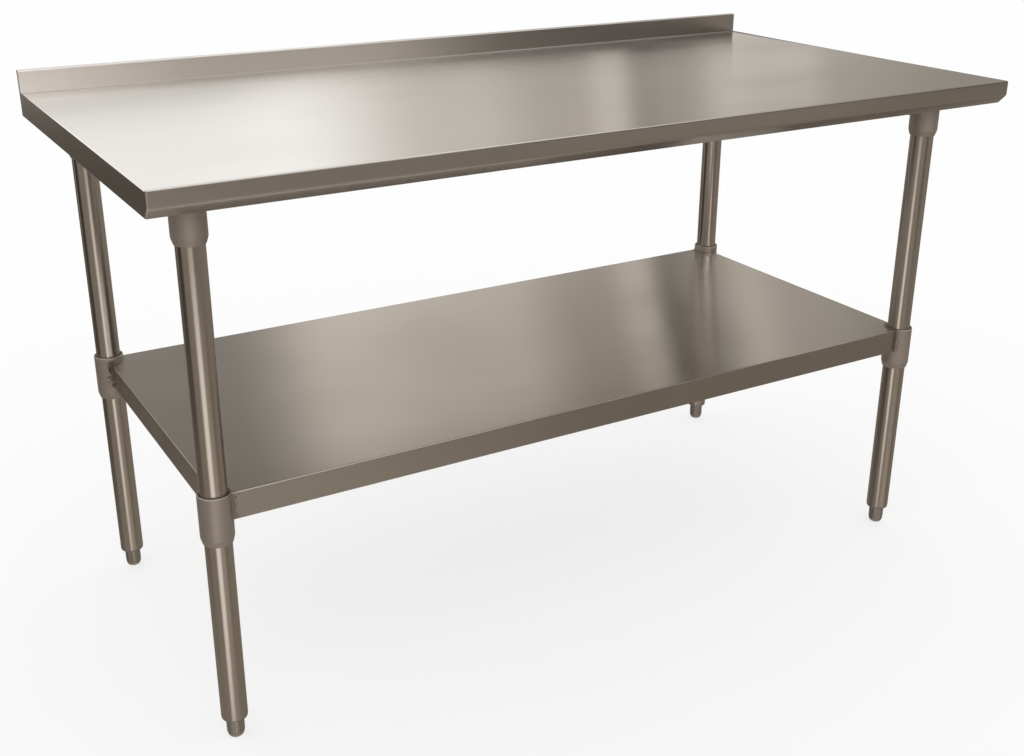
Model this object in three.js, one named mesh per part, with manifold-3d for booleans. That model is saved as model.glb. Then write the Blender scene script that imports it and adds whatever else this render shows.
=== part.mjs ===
// Stainless work table: a folded steel top with a low rear riser, stiffening channels under
// it, four round legs in tapered gussets, adjustable bullet feet, and a folded undershelf
// that slides on the legs and is clamped to them by set screws.
//
// Millimetres. +Z is up, X runs along the table, the front faces -Y. The origin is on the
// floor, under the middle of the table.

import * as THREE from "three";
import { mergeVertices } from "three/addons/utils/BufferGeometryUtils.js";
import Module from "manifold-3d";

const wasm = await Module();
wasm.setup();

// ---------------------------------------------------------------- driving dimensions

const INCH = 25.4;
const GAP = 0.3;                          // clearance left between neighbouring pieces

// The top
const TABLE_LENGTH = 60 * INCH;
const TABLE_DEPTH = 30 * INCH;
const WORK_HEIGHT = 35.5 * INCH;          // height of the working surface
const TOP_SHEET = 1.5;                    // 16 gauge steel
const FRONT_FACE = 25;                    // upright part of the front edge
const BEVEL = 15;                         // the front edge then turns in at 45 degrees
const APRON = FRONT_FACE + BEVEL;         // depth of the turned-down edges
const RISER_HEIGHT = 1.5 * INCH;
const RISER_DEPTH = 13;
const HEM = 12;                           // inward return along the side edges

// Legs, and the round gussets that hold them
const LEG_RADIUS = 1.625 * INCH / 2;
const LEG_WALL = 1.5;
const LEG_INSET_SIDE = 80;                // leg axis to the end of the top
const LEG_INSET_FRONT = 108;
const LEG_INSET_BACK = 62;
const LEG_BOTTOM = 37.5;
const SOCKET_RADIUS = INCH;               // gussets and shelf sockets are 2 in across
const GUSSET_BOTTOM = 796;
const GUSSET_TAPER = 10;
const GUSSET_CAP = 2.5;                   // closed upper end of a gusset
const GUSSET_SCREW_HEIGHT = 834;

// Hat channels under the top
const CHANNEL_SHEET = 1.5;
const CHANNEL_DROP = 25;
const CHANNEL_CROWN = 60;
const CHANNEL_BRIM = 20;
const CHANNEL_END_INSET = 26;             // cross channels stop this far from front and back
const STUD_RADIUS = 3;
const STUD_LENGTH = 12;
const STUD_HOLE_RADIUS = 4;
const NUT_ACROSS_FLATS = 10;
const NUT_HEIGHT = 5;
const CROSS_STUD_SPACING = 440;
const CENTER_STUD_SPACING = 900;

// Undershelf
const SHELF_HEIGHT = 422.5;               // height of the shelf's upper face
const SHELF_SHEET = 1.2;                  // 18 gauge steel
const SHELF_APRON = 44;
const SHELF_HEM = 12;
const SHELF_BEYOND_LEG_X = 2;             // shelf edge past the leg axes
const SHELF_BEYOND_LEG_Y = 14;
const SHELF_CHANNEL_LENGTH = 1280;
const SHELF_CHANNEL_DROP = 20;
const SHELF_CHANNEL_BRIM = 18;
const SOCKET_ABOVE_SHELF = { front: 1, back: 12 };   // how far each pair stands above the shelf
const SOCKET_HEIGHT = 80;
const SOCKET_TAPER = 10;
const SOCKET_BORE = LEG_RADIUS + 1;
const SOCKET_LEAD_IN = 2.2;               // the upper end of the bore opens out
const SOCKET_SCREW_DROP = 35.5;           // set screw below the socket's upper end

// Set screws
const SCREW_RADIUS = 4;
const SCREW_LENGTH = 8;
const SCREW_KEY_RADIUS = 2.3;             // hexagon recess, corner radius
const SCREW_KEY_DEPTH = 3.5;

// Feet
const INSERT_DEPTH = 20;                  // the plug inside the leg
const INSERT_LIP = 2;
const INSERT_LIP_RADIUS = LEG_RADIUS - 0.6;
const STEM_RADIUS = 0.25 * INCH;          // 1/2 in threaded stem
const STEM_TOP = 86;
const STEM_BOTTOM = 22;
const FOOT_RADIUS = 13.9;
const FOOT_ACROSS_FLATS = 26.4;           // wrench flats on the upper part of the foot
const FOOT_TOP = LEG_BOTTOM - 2 * GAP - INSERT_LIP;
const FOOT_ROUND_START = 13;              // the rounded nose begins at this height
const FOOT_PAD_RADIUS = 8;

const ROUND = 36;                         // facets of a leg-sized circle
const SMALL_ROUND = 24;
const FINE_ROUND = 12;

// ---------------------------------------------------------------- derived places

const HALF_LENGTH = TABLE_LENGTH / 2;
const HALF_DEPTH = TABLE_DEPTH / 2;
const TOP_UNDERSIDE = WORK_HEIGHT - TOP_SHEET;
const APRON_BOTTOM = WORK_HEIGHT - APRON;
const LEG_X = HALF_LENGTH - LEG_INSET_SIDE;
const LEG_FRONT_Y = -(HALF_DEPTH - LEG_INSET_FRONT);
const LEG_BACK_Y = HALF_DEPTH - LEG_INSET_BACK;
const LEG_MIDDLE_Y = (LEG_FRONT_Y + LEG_BACK_Y) / 2;
const CHANNEL_TOP = TOP_UNDERSIDE - GAP;
const BRIM_UNDERSIDE = CHANNEL_TOP - CHANNEL_SHEET;
const GUSSET_TOP = CHANNEL_TOP - CHANNEL_DROP - GAP;
const LEG_TOP = GUSSET_TOP - GUSSET_CAP - GAP;
const CORNERS = [
  { name: "front_left", row: "front", x: -LEG_X, y: LEG_FRONT_Y },
  { name: "front_right", row: "front", x: LEG_X, y: LEG_FRONT_Y },
  { name: "back_left", row: "back", x: -LEG_X, y: LEG_BACK_Y },
  { name: "back_right", row: "back", x: LEG_X, y: LEG_BACK_Y },
];

// ---------------------------------------------------------------- materials

const STEEL = { color: 0x8a8175, roughness: 0.32, metalness: 1 };
const TOP_STEEL = { color: 0xb4aca0, roughness: 0.3, metalness: 1 };
const SCREW_STEEL = { color: 0x4a4744, roughness: 0.45, metalness: 1 };

// ---------------------------------------------------------------- geometry helpers

// One closed, outward-facing surface with its shared vertices merged.
function closedSurface(geometry) {
  const bare = geometry.index ? geometry.toNonIndexed() : geometry.clone();
  bare.deleteAttribute("normal");
  bare.deleteAttribute("uv");
  const merged = mergeVertices(bare, 1e-4);
  const position = merged.attributes.position;
  const kept = [];
  let volume = 0;
  const a = new THREE.Vector3();
  const b = new THREE.Vector3();
  const c = new THREE.Vector3();
  for (let i = 0; i < merged.index.count; i += 3) {
    const corner = [0, 1, 2].map((k) => merged.index.getX(i + k));
    if (new Set(corner).size < 3) continue;
    a.fromBufferAttribute(position, corner[0]);
    b.fromBufferAttribute(position, corner[1]);
    c.fromBufferAttribute(position, corner[2]);
    volume += a.dot(b.cross(c));
    kept.push(corner);
  }
  if (volume < 0) kept.forEach((corner) => corner.reverse());
  merged.setIndex(kept.flat());
  return merged;
}

function toManifold(geometry) {
  const closed = closedSurface(geometry);
  const mesh = new wasm.Mesh({
    numProp: 3,
    vertProperties: new Float32Array(closed.attributes.position.array),
    triVerts: new Uint32Array(closed.index.array),
  });
  return new wasm.Manifold(mesh);
}

function toGeometry(manifold) {
  const mesh = manifold.getMesh();
  const geometry = new THREE.BufferGeometry();
  geometry.setAttribute("position", new THREE.BufferAttribute(mesh.vertProperties, 3));
  geometry.setIndex(new THREE.BufferAttribute(mesh.triVerts, 1));
  return geometry;
}

function join(first, ...others) {
  const whole = others.reduce((sum, next) => sum.add(toManifold(next)), toManifold(first));
  return toGeometry(whole);
}

function cut(body, ...tools) {
  const rest = tools.reduce((left, tool) => left.subtract(toManifold(tool)), toManifold(body));
  return toGeometry(rest);
}

function common(first, second) {
  return toGeometry(toManifold(first).intersect(toManifold(second)));
}

// Box between two corners.
function box(low, high) {
  const size = high.map((value, i) => value - low[i]);
  const middle = high.map((value, i) => (value + low[i]) / 2);
  return new THREE.BoxGeometry(...size).translate(...middle);
}

// Upright solid or ring turned from [radius, height] points.
function turned(points, segments) {
  const profile = points.map(([radius, height]) => new THREE.Vector2(radius, height));
  return new THREE.LatheGeometry(profile, segments).rotateX(Math.PI / 2);
}

function uprightCylinder(radius, low, high, segments) {
  return turned([[0, low], [radius, low], [radius, high], [0, high]], segments);
}

function outline(points) {
  return new THREE.Shape(points.map(([u, v]) => new THREE.Vector2(u, v)));
}

function extrude(shape, depth) {
  return new THREE.ExtrudeGeometry(shape, { depth, bevelEnabled: false, curveSegments: FINE_ROUND });
}

// Extrusions of a section: drawn in Y,Z and run along X, or drawn in X,Z and run along Y.
function alongX(shape, start, length) {
  const turn = new THREE.Matrix4().makeBasis(
    new THREE.Vector3(0, 1, 0),
    new THREE.Vector3(0, 0, 1),
    new THREE.Vector3(1, 0, 0),
  );
  return extrude(shape, length).applyMatrix4(turn).translate(start, 0, 0);
}

function alongY(shape, start, length) {
  const turn = new THREE.Matrix4().makeBasis(
    new THREE.Vector3(1, 0, 0),
    new THREE.Vector3(0, 0, 1),
    new THREE.Vector3(0, -1, 0),
  );
  return extrude(shape, length).applyMatrix4(turn).translate(0, start + length, 0);
}

// Section of a folded sheet: the path is its outer face, and the metal lies to the right of
// the path's direction.
function foldedSheet(path, thickness) {
  const points = path.map(([u, v]) => new THREE.Vector2(u, v));
  const normals = points.slice(1).map((point, i) => {
    const run = point.clone().sub(points[i]).normalize();
    return new THREE.Vector2(run.y, -run.x);
  });
  const inner = points.map((point, i) => {
    const before = normals[Math.max(i - 1, 0)];
    const after = normals[Math.min(i, normals.length - 1)];
    const miter = before.clone().add(after).normalize();
    return point.clone().addScaledVector(miter, thickness / miter.dot(after));
  });
  return new THREE.Shape([...points, ...inner.reverse()]);
}

function hexagon(acrossFlats) {
  const corner = acrossFlats / Math.sqrt(3);
  const points = [0, 1, 2, 3, 4, 5].map((k) => {
    const angle = (k * Math.PI) / 3;
    return [corner * Math.cos(angle), corner * Math.sin(angle)];
  });
  return outline(points);
}

// ---------------------------------------------------------------- assembly helpers

const table = new THREE.Group();

function place(name, geometry, finish, position = [0, 0, 0], turn = 0) {
  const mesh = new THREE.Mesh(closedSurface(geometry), new THREE.MeshStandardMaterial(finish));
  mesh.name = name;
  mesh.position.set(...position);
  mesh.rotation.z = turn;
  table.add(mesh);
}

// Angle from a leg towards the middle of the table along the inner diagonal of its corner.
function inwardAngle(corner) {
  return Math.atan2(-Math.sign(corner.y), -Math.sign(corner.x));
}

// ---------------------------------------------------------------- top

// Stud places: in pairs across each channel, one on each brim.
function studPlaces() {
  const row = (CHANNEL_CROWN + CHANNEL_BRIM) / 2;
  const places = { left: [], right: [], center: [] };
  for (const across of [-row, row]) {
    for (const end of [-1, 1]) {
      const y = LEG_MIDDLE_Y + (end * CROSS_STUD_SPACING) / 2;
      places.left.push([-LEG_X + across, y]);
      places.right.push([LEG_X + across, y]);
      places.center.push([(end * CENTER_STUD_SPACING) / 2, LEG_MIDDLE_Y + across]);
    }
  }
  return places;
}

const STUDS = studPlaces();

function topSheet() {
  const riserFront = HALF_DEPTH - RISER_DEPTH;
  const riserTop = WORK_HEIGHT + RISER_HEIGHT;
  const section = foldedSheet([
    [-HALF_DEPTH + BEVEL, APRON_BOTTOM],
    [-HALF_DEPTH, APRON_BOTTOM + BEVEL],
    [-HALF_DEPTH, WORK_HEIGHT],
    [riserFront, WORK_HEIGHT],
    [riserFront, riserTop],
    [HALF_DEPTH, riserTop],
    [HALF_DEPTH, APRON_BOTTOM],
  ], TOP_SHEET);
  const sideOutline = outline([
    [-HALF_DEPTH + BEVEL, APRON_BOTTOM],
    [HALF_DEPTH, APRON_BOTTOM],
    [HALF_DEPTH, WORK_HEIGHT],
    [-HALF_DEPTH, WORK_HEIGHT],
    [-HALF_DEPTH, APRON_BOTTOM + BEVEL],
  ]);
  const folded = alongX(section, -HALF_LENGTH, TABLE_LENGTH);
  const extras = [];
  for (const side of [-1, 1]) {
    const outer = side * HALF_LENGTH;
    const inner = side * (HALF_LENGTH - TOP_SHEET);
    const hemEdge = side * (HALF_LENGTH - HEM);
    extras.push(alongX(sideOutline, Math.min(outer, inner), TOP_SHEET));
    extras.push(box(
      [Math.min(outer, hemEdge), -HALF_DEPTH + BEVEL + TOP_SHEET, APRON_BOTTOM],
      [Math.max(outer, hemEdge), HALF_DEPTH, APRON_BOTTOM + TOP_SHEET],
    ));
  }
  const studFoot = TOP_UNDERSIDE - STUD_LENGTH;
  const studRoot = WORK_HEIGHT - TOP_SHEET / 2;
  for (const [x, y] of [...STUDS.left, ...STUDS.right, ...STUDS.center]) {
    extras.push(uprightCylinder(STUD_RADIUS, studFoot, studRoot, FINE_ROUND).translate(x, y, 0));
  }
  return join(folded, ...extras);
}

function riserCap() {
  const section = outline([
    [HALF_DEPTH - RISER_DEPTH + TOP_SHEET + GAP, WORK_HEIGHT + GAP],
    [HALF_DEPTH - TOP_SHEET - GAP, WORK_HEIGHT + GAP],
    [HALF_DEPTH - TOP_SHEET - GAP, WORK_HEIGHT + RISER_HEIGHT - TOP_SHEET - GAP],
    [HALF_DEPTH - RISER_DEPTH + TOP_SHEET + GAP, WORK_HEIGHT + RISER_HEIGHT - TOP_SHEET - GAP],
  ]);
  return alongX(section, 0, TOP_SHEET);
}

place("top_sheet", topSheet(), TOP_STEEL);
place("riser_cap_left", riserCap(), STEEL, [-HALF_LENGTH, 0, 0]);
place("riser_cap_right", riserCap(), STEEL, [HALF_LENGTH - TOP_SHEET, 0, 0]);

// ---------------------------------------------------------------- channels

// Section of a hat channel whose brims lie against the sheet above it and whose crown hangs
// down. middle is where the channel's centre line is, across its length.
function hatSection(middle, top, drop, crown, brim, sheet) {
  const crownEdge = crown / 2;
  const brimEdge = crownEdge + brim;
  return foldedSheet([
    [middle - brimEdge, top],
    [middle - crownEdge + sheet, top],
    [middle - crownEdge + sheet, top - drop + sheet],
    [middle + crownEdge - sheet, top - drop + sheet],
    [middle + crownEdge - sheet, top],
    [middle + brimEdge, top],
  ], sheet);
}

function studHoles(places) {
  return places.map(([x, y]) => uprightCylinder(
    STUD_HOLE_RADIUS, BRIM_UNDERSIDE - 1, CHANNEL_TOP + 1, FINE_ROUND,
  ).translate(x, y, 0));
}

function crossChannel(side) {
  const section = hatSection(
    side * LEG_X, CHANNEL_TOP, CHANNEL_DROP, CHANNEL_CROWN, CHANNEL_BRIM, CHANNEL_SHEET,
  );
  const start = -HALF_DEPTH + CHANNEL_END_INSET;
  const length = TABLE_DEPTH - 2 * CHANNEL_END_INSET;
  const holes = studHoles(side < 0 ? STUDS.left : STUDS.right);
  return cut(alongY(section, start, length), ...holes);
}

function centerChannel() {
  const section = hatSection(
    LEG_MIDDLE_Y, CHANNEL_TOP, CHANNEL_DROP, CHANNEL_CROWN, CHANNEL_BRIM, CHANNEL_SHEET,
  );
  const end = LEG_X - CHANNEL_CROWN / 2 - CHANNEL_BRIM - 1;
  return cut(alongX(section, -end, 2 * end), ...studHoles(STUDS.center));
}

function nut() {
  const shape = hexagon(NUT_ACROSS_FLATS);
  const hole = new THREE.Path();
  hole.absarc(0, 0, STUD_RADIUS + GAP, 0, 2 * Math.PI, true);
  shape.holes.push(hole);
  return extrude(shape, NUT_HEIGHT);
}

place("channel_left", crossChannel(-1), STEEL);
place("channel_right", crossChannel(1), STEEL);
place("channel_center", centerChannel(), STEEL);
for (const [channel, places] of Object.entries(STUDS)) {
  places.forEach(([x, y], i) => {
    const height = BRIM_UNDERSIDE - GAP - NUT_HEIGHT;
    place(`nut_${channel}_${i + 1}`, nut(), SCREW_STEEL, [x, y, height]);
  });
}

// ---------------------------------------------------------------- legs and gussets

function screwHole(height) {
  return uprightCylinder(SCREW_RADIUS + GAP, 0, 2 * SOCKET_RADIUS, SMALL_ROUND)
    .rotateY(Math.PI / 2)
    .translate(0, 0, height);
}

function gusset() {
  const bore = LEG_RADIUS + 2 * GAP;
  const body = turned([
    [0, GUSSET_TOP],
    [SOCKET_RADIUS, GUSSET_TOP],
    [SOCKET_RADIUS, GUSSET_BOTTOM + GUSSET_TAPER],
    [bore + 0.8, GUSSET_BOTTOM],
    [bore, GUSSET_BOTTOM],
    [bore, GUSSET_TOP - GUSSET_CAP],
    [0, GUSSET_TOP - GUSSET_CAP],
  ], ROUND);
  return cut(body, screwHole(GUSSET_SCREW_HEIGHT));
}

function legTube() {
  const inner = LEG_RADIUS - LEG_WALL;
  return turned([
    [inner, LEG_BOTTOM],
    [LEG_RADIUS, LEG_BOTTOM],
    [LEG_RADIUS, LEG_TOP],
    [inner, LEG_TOP],
    [inner, LEG_BOTTOM],
  ], ROUND);
}

// Cup-point set screw lying along +X, its tip just clear of the leg.
function setScrew() {
  const tip = LEG_RADIUS + GAP;
  const head = tip + SCREW_LENGTH;
  const body = uprightCylinder(SCREW_RADIUS, tip, head, FINE_ROUND);
  const key = uprightCylinder(SCREW_KEY_RADIUS, head - SCREW_KEY_DEPTH, head + 1, 6);
  return cut(body, key).rotateY(Math.PI / 2);
}

for (const corner of CORNERS) {
  const inward = inwardAngle(corner);
  place(`leg_gusset_${corner.name}`, gusset(), STEEL, [corner.x, corner.y, 0], inward);
  place(`leg_${corner.name}`, legTube(), STEEL, [corner.x, corner.y, 0]);
  place(
    `gusset_screw_${corner.name}`, setScrew(), SCREW_STEEL,
    [corner.x, corner.y, GUSSET_SCREW_HEIGHT], inward,
  );
}

// ---------------------------------------------------------------- feet

function footInsert() {
  const plug = LEG_RADIUS - LEG_WALL - GAP;
  const bore = STEM_RADIUS + GAP;
  const lipTop = LEG_BOTTOM - GAP;
  return turned([
    [bore, lipTop - INSERT_LIP],
    [INSERT_LIP_RADIUS, lipTop - INSERT_LIP],
    [INSERT_LIP_RADIUS, lipTop],
    [plug, lipTop],
    [plug, lipTop + INSERT_DEPTH],
    [bore, lipTop + INSERT_DEPTH],
    [bore, lipTop - INSERT_LIP],
  ], SMALL_ROUND);
}

// Bullet foot: wrench flats above, rounded nose below, blind bore for the stem.
function footBullet() {
  const points = [[0, 0], [FOOT_PAD_RADIUS, 0]];
  const steps = 4;
  for (let i = 1; i <= steps; i += 1) {
    const angle = (i / steps) * (Math.PI / 2);
    points.push([
      FOOT_PAD_RADIUS + (FOOT_RADIUS - FOOT_PAD_RADIUS) * Math.sin(angle),
      FOOT_ROUND_START * (1 - Math.cos(angle)),
    ]);
  }
  points.push([FOOT_RADIUS, FOOT_TOP - 1]);
  points.push([FOOT_RADIUS - 1, FOOT_TOP]);
  points.push([0, FOOT_TOP]);
  const flats = extrude(hexagon(FOOT_ACROSS_FLATS), FOOT_TOP + 2).translate(0, 0, -1);
  const bore = uprightCylinder(STEM_RADIUS + GAP, STEM_BOTTOM - GAP, FOOT_TOP + 1, SMALL_ROUND);
  return cut(common(turned(points, SMALL_ROUND), flats), bore);
}

function footStem() {
  return uprightCylinder(STEM_RADIUS, STEM_BOTTOM, STEM_TOP, SMALL_ROUND);
}

for (const corner of CORNERS) {
  place(`foot_insert_${corner.name}`, footInsert(), STEEL, [corner.x, corner.y, 0]);
  place(`foot_stem_${corner.name}`, footStem(), SCREW_STEEL, [corner.x, corner.y, 0]);
  place(`foot_${corner.name}`, footBullet(), STEEL, [corner.x, corner.y, 0]);
}

// ---------------------------------------------------------------- undershelf

function shelfPan() {
  const x = LEG_X + SHELF_BEYOND_LEG_X;
  const front = LEG_FRONT_Y - SHELF_BEYOND_LEG_Y;
  const back = LEG_BACK_Y + SHELF_BEYOND_LEG_Y;
  const bottom = SHELF_HEIGHT - SHELF_APRON;
  const block = box([-x, front, bottom], [x, back, SHELF_HEIGHT]);
  const hollow = box(
    [-x + SHELF_SHEET, front + SHELF_SHEET, bottom + SHELF_SHEET],
    [x - SHELF_SHEET, back - SHELF_SHEET, SHELF_HEIGHT - SHELF_SHEET],
  );
  const opening = box(
    [-x + SHELF_HEM, front + SHELF_HEM, bottom - 1],
    [x - SHELF_HEM, back - SHELF_HEM, bottom + SHELF_SHEET + 1],
  );
  const corners = CORNERS.map((corner) => uprightCylinder(
    SOCKET_RADIUS + GAP, bottom - 1, SHELF_HEIGHT + 1, ROUND,
  ).translate(corner.x, corner.y, 0));
  return cut(block, hollow, opening, ...corners);
}

function shelfChannel() {
  const section = hatSection(
    LEG_MIDDLE_Y, SHELF_HEIGHT - SHELF_SHEET - GAP, SHELF_CHANNEL_DROP, CHANNEL_CROWN,
    SHELF_CHANNEL_BRIM, SHELF_SHEET,
  );
  return alongX(section, -SHELF_CHANNEL_LENGTH / 2, SHELF_CHANNEL_LENGTH);
}

// A socket whose upper end is at height 0.
function shelfSocket() {
  const body = turned([
    [SOCKET_BORE, -SOCKET_HEIGHT],
    [SOCKET_BORE + 0.8, -SOCKET_HEIGHT],
    [SOCKET_RADIUS, -SOCKET_HEIGHT + SOCKET_TAPER],
    [SOCKET_RADIUS, -1],
    [SOCKET_RADIUS - 1, 0],
    [SOCKET_BORE + SOCKET_LEAD_IN, 0],
    [SOCKET_BORE, -2 * SOCKET_LEAD_IN],
    [SOCKET_BORE, -SOCKET_HEIGHT],
  ], ROUND);
  return cut(body, screwHole(-SOCKET_SCREW_DROP));
}

place("shelf_pan", shelfPan(), STEEL);
place("shelf_channel", shelfChannel(), STEEL);
for (const corner of CORNERS) {
  const inward = inwardAngle(corner);
  const socketTop = SHELF_HEIGHT + SOCKET_ABOVE_SHELF[corner.row];
  place(`shelf_socket_${corner.name}`, shelfSocket(), STEEL, [corner.x, corner.y, socketTop], inward);
  place(
    `shelf_screw_${corner.name}`, setScrew(), SCREW_STEEL,
    [corner.x, corner.y, socketTop - SOCKET_SCREW_DROP], inward,
  );
}

export default table;
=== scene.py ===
"""Looks of the stainless work table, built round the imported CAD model. Everything is in metres."""

import math

import bmesh
import bpy
from mathutils import Euler, Matrix, Vector


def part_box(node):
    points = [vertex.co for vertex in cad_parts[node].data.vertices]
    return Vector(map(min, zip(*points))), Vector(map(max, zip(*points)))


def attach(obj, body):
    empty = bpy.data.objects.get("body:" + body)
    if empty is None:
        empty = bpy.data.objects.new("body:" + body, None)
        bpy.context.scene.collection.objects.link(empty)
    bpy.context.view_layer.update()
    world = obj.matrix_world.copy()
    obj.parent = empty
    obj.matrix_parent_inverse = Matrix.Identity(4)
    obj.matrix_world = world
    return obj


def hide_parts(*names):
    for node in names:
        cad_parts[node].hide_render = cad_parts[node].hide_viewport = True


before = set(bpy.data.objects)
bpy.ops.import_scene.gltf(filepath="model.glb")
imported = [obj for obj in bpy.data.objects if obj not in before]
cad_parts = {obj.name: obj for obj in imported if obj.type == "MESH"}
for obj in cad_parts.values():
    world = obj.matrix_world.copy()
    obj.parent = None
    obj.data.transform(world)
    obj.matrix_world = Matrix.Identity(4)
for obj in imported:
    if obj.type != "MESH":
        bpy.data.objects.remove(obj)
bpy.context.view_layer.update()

MM = 0.001
CORNERS = ("front_left", "front_right", "back_left", "back_right")
CHANNELS = ("left", "right", "center")

# ---------------------------------------------------------------- sizes that the CAD boxes don't tell

TOP_SHEET = 1.5 * MM
SHELF_SHEET = 1.2 * MM
WORK_HEIGHT = 901.7 * MM
FRONT_BEVEL = 15 * MM            # the front edge turns in at 45 degrees over this height
RISER_DEPTH = 13 * MM
TOP_HEM = 12 * MM
SHELF_HEM = 12 * MM
TOP_BEND = 2.6 * MM              # outer size of a bend's rounding
SHELF_BEND = 2.0 * MM
CHANNEL_BEND = 2.4 * MM
CHANNEL_CROWN = 60 * MM
WELD_CLEARANCE = 0.3 * MM        # between the shelf's cut corners and the sockets
LEG_WALL = 1.5 * MM
GUSSET_TAPER = 10 * MM
GUSSET_CAP = 2.5 * MM
GUSSET_PLAY = 0.6 * MM           # between a leg and its gusset's bore
SOCKET_TAPER = 10 * MM
SOCKET_PLAY = 1.0 * MM           # between a leg and a shelf socket's bore
SOCKET_DISH = 2.2 * MM           # width of the slope inside a socket's rim
SOCKET_DISH_DEPTH = 4.4 * MM
TAPER_EDGE = 0.9 * MM            # wall left at the lower end of a gusset or socket
SCREW_RADIUS = 4 * MM
SCREW_LENGTH = 8 * MM
SCREW_PITCH = 1.27 * MM
SCREW_THREAD = 0.45 * MM         # depth of its thread
SCREW_RECESS = 3.5 * MM          # depth of the recess for a key
SCREW_KEY = 2.1 * MM             # radius of the recess
SCREW_PLAY = 0.3 * MM            # round a set screw, and between its point and the leg
STUD_RADIUS = 3 * MM
STUD_LENGTH = 12 * MM
STUD_PITCH = 1.0 * MM
STUD_THREAD = 0.45 * MM
NUT_PLAY = 0.15 * MM             # between a nut's bore and its stud
NUT_CHAMFER = 0.9 * MM
STEM_PITCH = 1.954 * MM
STEM_THREAD = 1.0 * MM
STEM_PLAY = 0.3 * MM             # round a foot's stem, and under its end
INSERT_LIP = 2 * MM              # the insert's lip shows this far under the leg
INSERT_PLAY = 0.3 * MM
FOOT_ACROSS_FLATS = 26.4 * MM
FOOT_PAD_RADIUS = 8 * MM
FOOT_ROUND_START = 13 * MM       # the foot starts to round in at this height
FOOT_RADIUS = 13.9 * MM          # over its corners, with the flats cut into it
RAW_EDGE = 0.3 * MM              # rounding of a sheet's cut edges

ROUND = 96                       # facets of a leg-sized circle
SMALL_ROUND = 48
TINY_ROUND = 24
BEND_STEPS = 5
CUT_STEPS = 16                   # facets of one of the shelf's cut corners
NOSE_STEPS = 12                  # facets of a foot's rounding, from its pad to its side

# ---------------------------------------------------------------- places from the frame


class Box:
    """The box round one CAD node."""

    def __init__(self, node):
        low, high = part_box(node)
        self.low = Vector(low)
        self.high = Vector(high)
        self.middle = (self.low + self.high) / 2
        self.size = self.high - self.low


TOP = Box("top_sheet")
SHELF = Box("shelf_pan")
LEGS = {corner: Box(f"leg_{corner}") for corner in CORNERS}
GUSSETS = {corner: Box(f"leg_gusset_{corner}") for corner in CORNERS}
SOCKETS = {corner: Box(f"shelf_socket_{corner}") for corner in CORNERS}
LEG_RADIUS = LEGS["front_left"].size.x / 2
SOCKET_RADIUS = SOCKETS["front_left"].size.x / 2
SHELF_CLEAR = SOCKET_RADIUS + WELD_CLEARANCE      # radius of the shelf's cut corners
LEG_CENTRE = (LEGS["front_left"].middle + LEGS["back_right"].middle) / 2
LEG_SPREAD = LEGS["back_right"].middle - LEG_CENTRE
SHELF_REACH = SHELF.high - LEGS["back_right"].middle    # from a leg's axis out to the shelf's edges


def on_cut(offset):
    """The other coordinate of a point on a shelf's cut corner, that far from the leg's axis."""
    return math.sqrt(SHELF_CLEAR ** 2 - offset ** 2)


# Where the shelf's side and its front or back edge meet a socket, outward from the leg's axis
WELD_SEAMS = (
    Vector((SHELF_REACH.x, -on_cut(SHELF_REACH.x))),
    Vector((-on_cut(SHELF_REACH.y), SHELF_REACH.y)),
)

# ---------------------------------------------------------------- mesh helpers


def object_from(bm, name, sharp=35):
    """An object at the origin, smooth except at edges sharper than that angle."""
    mesh = bpy.data.meshes.new(name)
    bm.to_mesh(mesh)
    bm.free()
    mesh.shade_smooth()
    mesh.set_sharp_from_angle(angle=math.radians(sharp))
    made = bpy.data.objects.new(name, mesh)
    bpy.context.scene.collection.objects.link(made)
    return made


def even_shading(made):
    """Large flat faces keep flat shading next to their rounded edges."""
    modifier = made.modifiers.new("even_shading", "WEIGHTED_NORMAL")
    modifier.keep_sharp = True
    return made


def soften(made, width, limit=50, segments=2):
    """Rounds every edge that is sharper than the limit, in degrees."""
    modifier = made.modifiers.new("softened_edges", "BEVEL")
    modifier.width = width
    modifier.segments = segments
    modifier.limit_method = "ANGLE"
    modifier.angle_limit = math.radians(limit)
    modifier.use_clamp_overlap = True
    return made


def filleted(points, steps=4):
    """The path through (u, v, radius) points, with each corner rounded to its radius."""
    path = []
    count = len(points)
    for i, (u, v, radius) in enumerate(points):
        here = Vector((u, v))
        if radius <= 0:
            path.append(here)
            continue
        before = (Vector(points[i - 1][:2]) - here).normalized()
        after = (Vector(points[(i + 1) % count][:2]) - here).normalized()
        half = before.angle(after) / 2
        reach = radius / math.tan(half)
        middle = here + (before + after).normalized() * (radius / math.sin(half))
        start = here + before * reach - middle
        end = here + after * reach - middle
        sweep = start.angle_signed(end)
        for k in range(steps + 1):
            turn = -sweep * k / steps
            cos, sin = math.cos(turn), math.sin(turn)
            path.append(middle + Vector((start.x * cos - start.y * sin, start.x * sin + start.y * cos)))
    return [tuple(point) for point in path]


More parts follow.
